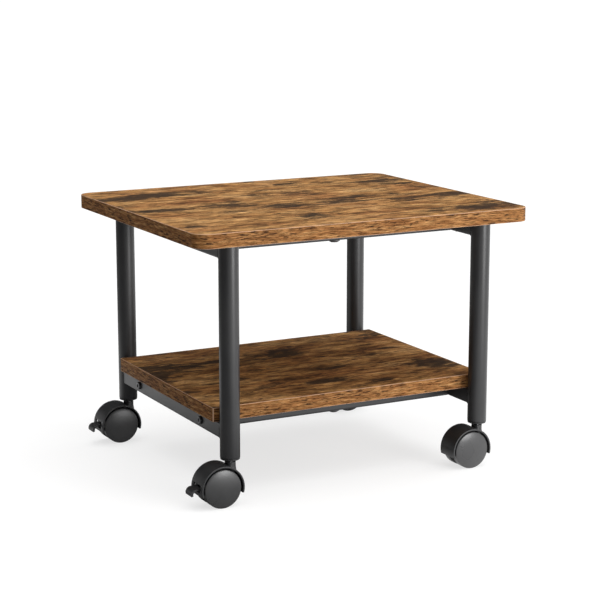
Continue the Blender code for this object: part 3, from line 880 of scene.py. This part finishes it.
def build_fasteners(black):
    """The bolts through the side rails into the cross rails, and the screws up into the boards."""
    for level in LEVELS:
        for end in ENDS:
            for side, sx in SIDES.items():
                node = f"rail_bolt_{level}_{end}_{side}"
                low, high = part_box(node)
                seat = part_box(f"side_rail_{level}_{side}")[1 if sx > 0 else 0].x + sx * GAP
                head_height = abs((high.x if sx > 0 else low.x) - seat)
                length = (high.x - low.x) - head_height
                bolt = bolt_bm((high.z - low.z) / 2, head_height, length)
                turn = Matrix.Rotation(sx * math.pi / 2, 3, "Y")
                bmesh.ops.rotate(bolt, verts=bolt.verts, matrix=turn)
                add_piece(node + "_bolt", bolt, "frame", black, [node],
                          (seat, (low.y + high.y) / 2, (low.z + high.z) / 2))
            build_screw(f"centre_screw_{level}_{end}", f"cross_rail_{level}_{end}", black)
    for side in SIDES:
        for end in ENDS:
            build_screw(f"side_screw_{end}_{side}", f"side_rail_upper_{side}", black)


def build_screw(node, rail, black):
    low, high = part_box(node)
    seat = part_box(rail)[0].z - GAP
    screw = screw_bm((high.x - low.x) / 2, seat - low.z, high.z - seat)
    add_piece(node + "_screw", screw, "frame", black, [node],
              ((low.x + high.x) / 2, (low.y + high.y) / 2, seat))


# Casters: their meshes are made about the stem's axis, at world height, and trail towards -X


def stem_axis(corner):
    """Where a caster's stem stands on the floor."""
    place = middle(f"caster_stem_{corner}")
    return Vector((place.x, place.y, 0))


def wheel_bm(radius, inner, outer):
    """The wheel on the +Y side, turning about Y, with its marks for the tread."""
    edge = outer - WHEEL_DOME_RISE
    flank = radius - WHEEL_SHOULDER
    dome = []
    for k in range(WHEEL_DOME_STEPS + 1):
        part = k / WHEEL_DOME_STEPS
        rise = WHEEL_DOME_RISE * (1 - 0.85 * part**2 - 0.15 * part**6)
        dome.append((flank * k / WHEEL_DOME_STEPS, edge + rise))
    web = edge - WHEEL_WEB_DEPTH
    axle = half_size("caster_axle_front_left")
    bore, bore_end = axle.x + GAP, axle.y + AXLE_END_GAP
    rim = radius - WHEEL_RIM_WALL
    hub = WHEEL_HUB_RADIUS
    body = rounded(
        [(*dome[-1], 0), (radius, edge - 0.4 * MM, 1.2 * MM), (radius, inner, 0.9 * MM),
         (rim, inner, 0.4 * MM), (rim, web, 1.2 * MM), (hub, web, 1 * MM), (hub, inner, 0.4 * MM),
         (bore, inner, 0.3 * MM), (bore, bore_end, 0), (0, bore_end, 0)], 5)
    bm = turned(dome + body[1:], WHEEL_SIDES)
    tread = bm.verts.layers.float.new("tread")
    for vert in bm.verts:
        is_outermost = math.hypot(vert.co.x, vert.co.y) > radius - TREAD_REACH
        vert[tread] = 1.0 if is_outermost and vert.co.z < edge - TREAD_MARGIN else 0.0
    bmesh.ops.rotate(bm, verts=bm.verts, matrix=Matrix.Rotation(-math.pi / 2, 3, "X"))
    return bm


def hood_mesh(braked, box, axle, stem_low, stem_radius, wheel_radius):
    """The hood: a turned fender and web, cut off level below, with the stem's boss and its openings."""
    low, high = box
    radius = axle.x - low.x
    half = (high.y - low.y) / 2
    skin = radius - HOOD_WALL
    web = WEB_HALF_WIDTH
    section = rounded(
        [(0, -web, 0), (skin, -web, WEB_FILLET), (skin, -half, LIP_ROUNDING),
         (radius, -half, LIP_ROUNDING), (radius, half, LIP_ROUNDING), (skin, half, LIP_ROUNDING),
         (skin, web, WEB_FILLET), (0, web, 0)], 5)
    fender = turned(section, WHEEL_SIDES)
    bmesh.ops.rotate(fender, verts=fender.verts, matrix=Matrix.Rotation(-math.pi / 2, 3, "X"))
    bmesh.ops.translate(fender, verts=fender.verts, vec=axle)
    hood = working_object(fender, "braked_hood" if braked else "plain_hood")
    neck_foot, foot = high.z - BOSS_NECK_HEIGHT, high.z - BOSS_FOOT_DROP
    boss = turned(rounded(
        [(0, high.z, 0), (BOSS_NECK_RADIUS, high.z, 0.8 * MM), (BOSS_NECK_RADIUS, neck_foot, 1 * MM),
         (BOSS_FOOT_RADIUS, foot, 0), (0, foot, 0)], 5), TUBE_SIDES)
    cut(hood, boss, "UNION")
    reach = 2 * radius
    cut(hood, box_bm((-reach, -reach, -reach), (reach, reach, low.z)))
    top, bore = high.z + CUT_MARGIN, stem_radius + GAP
    cut(hood, turned([(0, top), (bore, top), (bore, stem_low), (0, stem_low)], SMALL_SIDES))
    if braked:
        treads = axle.x - wheel_radius
        cut(hood, box_bm((treads - CUT_MARGIN, -BAY_HALF_WIDTH, 0),
                         (axle.x - BAY_END, BAY_HALF_WIDTH, BAY_TOP)))
        slot_half = PEDAL_HALF_WIDTH + CUT_MARGIN
        cut(hood, box_bm((low.x - CUT_MARGIN, -slot_half, SLOT_HEIGHTS[0]),
                         (treads - SLOT_TREAD_GAP, slot_half, SLOT_HEIGHTS[1])))
    return softened(hood, width=0.35 * MM, segments=2, crease=50)


def lever_mesh(pivot):
    """The brake lever: a hooked pedal on an arm, with softened edges."""
    turn = HOOK_END - HOOK_START
    angles = [math.radians(HOOK_START + turn * k / HOOK_STEPS) for k in range(HOOK_STEPS + 1)]

    def arc(radius):
        return [(HOOK_MIDDLE.x + radius * math.cos(a), HOOK_MIDDLE.y + radius * math.sin(a))
                for a in angles]

    outer, inner = arc(HOOK_RADIUS), arc(HOOK_RADIUS - PEDAL_THICKNESS)
    outline = [(PEDAL_ROOT, PEDAL_TOP), *outer, *reversed(inner), (PEDAL_ROOT, PEDAL_TOP - PEDAL_THICKNESS)]
    sides = (-PEDAL_HALF_WIDTH, PEDAL_HALF_WIDTH)
    pedal = working_object(loft([[(x, y, z) for x, z in outline] for y in sides], False), "lever")
    half = BAY_HALF_WIDTH - GAP
    arm = box_bm((PEDAL_ROOT - LEVER_ARM_OVERLAP, -half, -LEVER_ARM_DEPTH), (0, half, 0))
    cut(pedal, arm, "UNION")
    eye = turned([(0, half), (LEVER_EYE_RADIUS, half), (LEVER_EYE_RADIUS, -half), (0, -half)], SMALL_SIDES)
    bmesh.ops.rotate(eye, verts=eye.verts, matrix=Matrix.Rotation(math.pi / 2, 3, "X"))
    cut(pedal, eye, "UNION")
    mesh = softened(pedal, width=0.45 * MM, segments=3, crease=40)
    mesh.transform(Matrix.Translation(pivot))
    return mesh


def wheel_meshes(stem):
    """The front left caster's wheels about its stem's axis: the one on the +Y side, and its twin."""
    low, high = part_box("wheel_front_left_inner")
    wheel = wheel_bm(half_size("wheel_front_left_inner").x, low.y - stem.y, high.y - stem.y)
    rear = bpy.data.meshes.new("wheel")
    wheel.to_mesh(rear)
    wheel.free()
    front = rear.copy()
    front.transform(Matrix.Rotation(math.pi, 4, "Z"))
    return rear, front


def build_casters(nylon, wheel_skin, steel):
    """Four casters from one pair of wheels, one lever and two hoods: with a brake and without."""
    stem = stem_axis("front_left")
    axle = middle("caster_axle_front_left") - stem
    rear_wheel, front_wheel = wheel_meshes(stem)
    wheel_radius = half_size("wheel_front_left_inner").x
    hoods = {}
    for braked, corner in ((True, "front_left"), (False, "front_right")):
        box = tuple(point - stem_axis(corner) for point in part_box(f"caster_hood_{corner}"))
        stem_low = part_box(f"caster_stem_{corner}")[0].z - GAP
        pivot_radius = half_size(f"caster_stem_{corner}").x - STEM_STEP
        hoods[braked] = hood_mesh(braked, box, axle, stem_low, pivot_radius, wheel_radius)
    joint = next(j for j in frame["joints"] if j["name"] == "press_brake_front_left")
    lever = lever_mesh(Vector(joint["pos_m"]) - stem)
    for side in SIDES:
        for end in ENDS:
            corner = f"{end}_{side}"
            here = stem_axis(corner)
            braked = side == BRAKED_SIDE
            body = f"caster_{corner}"
            add_piece(f"caster_hood_{corner}_shell", hoods[braked], body, nylon,
                      [f"caster_hood_{corner}"], here)
            rear, front = ("inner", "outer") if end == "front" else ("outer", "inner")
            for which, mesh in ((rear, rear_wheel), (front, front_wheel)):
                node = f"wheel_{corner}_{which}"
                add_piece(node + "_moulding", mesh, node, wheel_skin, [node],
                          here + axle)
            axle_mesh = frame["nodes"][f"caster_axle_{corner}"].data
            axle_mesh.materials.clear()
            axle_mesh.materials.append(steel)
            if braked:
                add_piece(f"brake_lever_{corner}_pedal", lever, f"brake_{corner}", nylon,
                          [f"brake_lever_{corner}"], here)


# Stage


def build_stage():
    """A pale floor with no edge in view: white to the camera, and grey with some glow to the stand."""
    bm = bmesh.new()
    bmesh.ops.create_grid(bm, x_segments=1, y_segments=1, size=FLOOR_HALF_SIZE)
    mesh = bpy.data.meshes.new("floor")
    bm.to_mesh(mesh)
    bm.free()
    floor = bpy.data.objects.new("floor", mesh)
    bpy.context.scene.collection.objects.link(floor)
    shader = Shader("pale_floor", Base_Color=FLOOR_GREY, Roughness=0.9, Specular_IOR_Level=0.0,
                    Emission_Color=WHITE)
    seen = shader.add("ShaderNodeLightPath", {}).outputs["Is Camera Ray"]
    place = shader.place()
    towards_key = shader.vectors("DOT_PRODUCT", place, FLOOR_BOUNCE_SIDE, "Value")
    bounce = shader.span(towards_key, *FLOOR_BOUNCE_EDGES, 0.0, FLOOR_BOUNCE)
    from_pool = shader.vectors("DISTANCE", place, FLOOR_POOL_MIDDLE, "Value")
    pool = shader.span(from_pool, *FLOOR_POOL_EDGES, FLOOR_POOL, 0.0)
    values = {0: seen, 2: shader.plus(bounce, pool), 3: FLOOR_GLOW}
    shader.finish(Emission_Strength=shader.add("ShaderNodeMix", values).outputs[0])
    mesh.materials.append(shader.material)


def build_world():
    """Soft studio light from a few broad patches of wall and ceiling, and a white backdrop."""
    world = bpy.data.worlds.new("studio")
    bpy.context.scene.world = world
    world.use_nodes = True
    nodes, links = world.node_tree.nodes, world.node_tree.links
    nodes.clear()
    direction = nodes.new("ShaderNodeTexCoord").outputs["Generated"]
    level = WORLD_FILL
    for towards, edge, core, strength in WORLD_PATCHES:
        facing = nodes.new("ShaderNodeVectorMath")
        facing.operation = "DOT_PRODUCT"
        facing.inputs[1].default_value = Vector(towards).normalized()
        links.new(direction, facing.inputs[0])
        patch = nodes.new("ShaderNodeMapRange")
        patch.interpolation_type = "SMOOTHSTEP"
        patch.inputs["From Min"].default_value = math.cos(math.radians(edge))
        patch.inputs["From Max"].default_value = math.cos(math.radians(core))
        patch.inputs["To Max"].default_value = strength
        links.new(facing.outputs["Value"], patch.inputs["Value"])
        total = nodes.new("ShaderNodeMath")
        links.new(patch.outputs[0], total.inputs[0])
        if isinstance(level, float):
            total.inputs[1].default_value = level
        else:
            links.new(level, total.inputs[1])
        level = total.outputs[0]
    light = nodes.new("ShaderNodeBackground")
    links.new(level, light.inputs["Strength"])
    white = nodes.new("ShaderNodeBackground")
    white.inputs["Color"].default_value = WHITE
    white.inputs["Strength"].default_value = BACKDROP_STRENGTH
    pick = nodes.new("ShaderNodeMixShader")
    links.new(nodes.new("ShaderNodeLightPath").outputs["Is Camera Ray"], pick.inputs[0])
    links.new(light.outputs[0], pick.inputs[1])
    links.new(white.outputs[0], pick.inputs[2])
    links.new(pick.outputs[0], nodes.new("ShaderNodeOutputWorld").inputs["Surface"])


def build_key_light():
    """One broad soft light in front of the stand on the right."""
    data = bpy.data.lights.new("key", "AREA")
    data.shape = "RECTANGLE"
    data.size, data.size_y = KEY_SIZE
    data.energy = KEY_POWER
    light = bpy.data.objects.new("key", data)
    light.location = KEY_PLACE
    light.rotation_euler = (Vector(KEY_TARGET) - Vector(KEY_PLACE)).to_track_quat("-Z", "Y").to_euler()
    bpy.context.scene.collection.objects.link(light)


def build_camera():
    data = bpy.data.cameras.new("camera")
    data.lens = CAMERA_LENS
    data.sensor_width = CAMERA_SENSOR
    camera = bpy.data.objects.new("camera", data)
    camera.location = CAMERA_PLACE
    camera.rotation_euler = (math.radians(90 - CAMERA_PITCH), 0, -math.radians(CAMERA_YAW))
    bpy.context.scene.collection.objects.link(camera)
    bpy.context.scene.camera = camera


build_camera()
face = board_face_material()
band = edge_band_material()
coat = powder_coat_material()
nylon = nylon_material()
wheel_skin = wheel_material()
black = fastener_material()
steel = steel_material()
build_board("top_board", TOP_CORNER_RADIUS, TOP_CORNER_STEPS, face, band)
build_board("lower_shelf", SHELF_CORNER_RADIUS, SHELF_CORNER_STEPS, face, band)
build_rails(coat)
build_legs(coat, nylon, steel)
build_fasteners(black)
build_casters(nylon, wheel_skin, steel)
build_stage()
build_world()
build_key_light()
bpy.context.scene.view_settings.view_transform = "Standard"
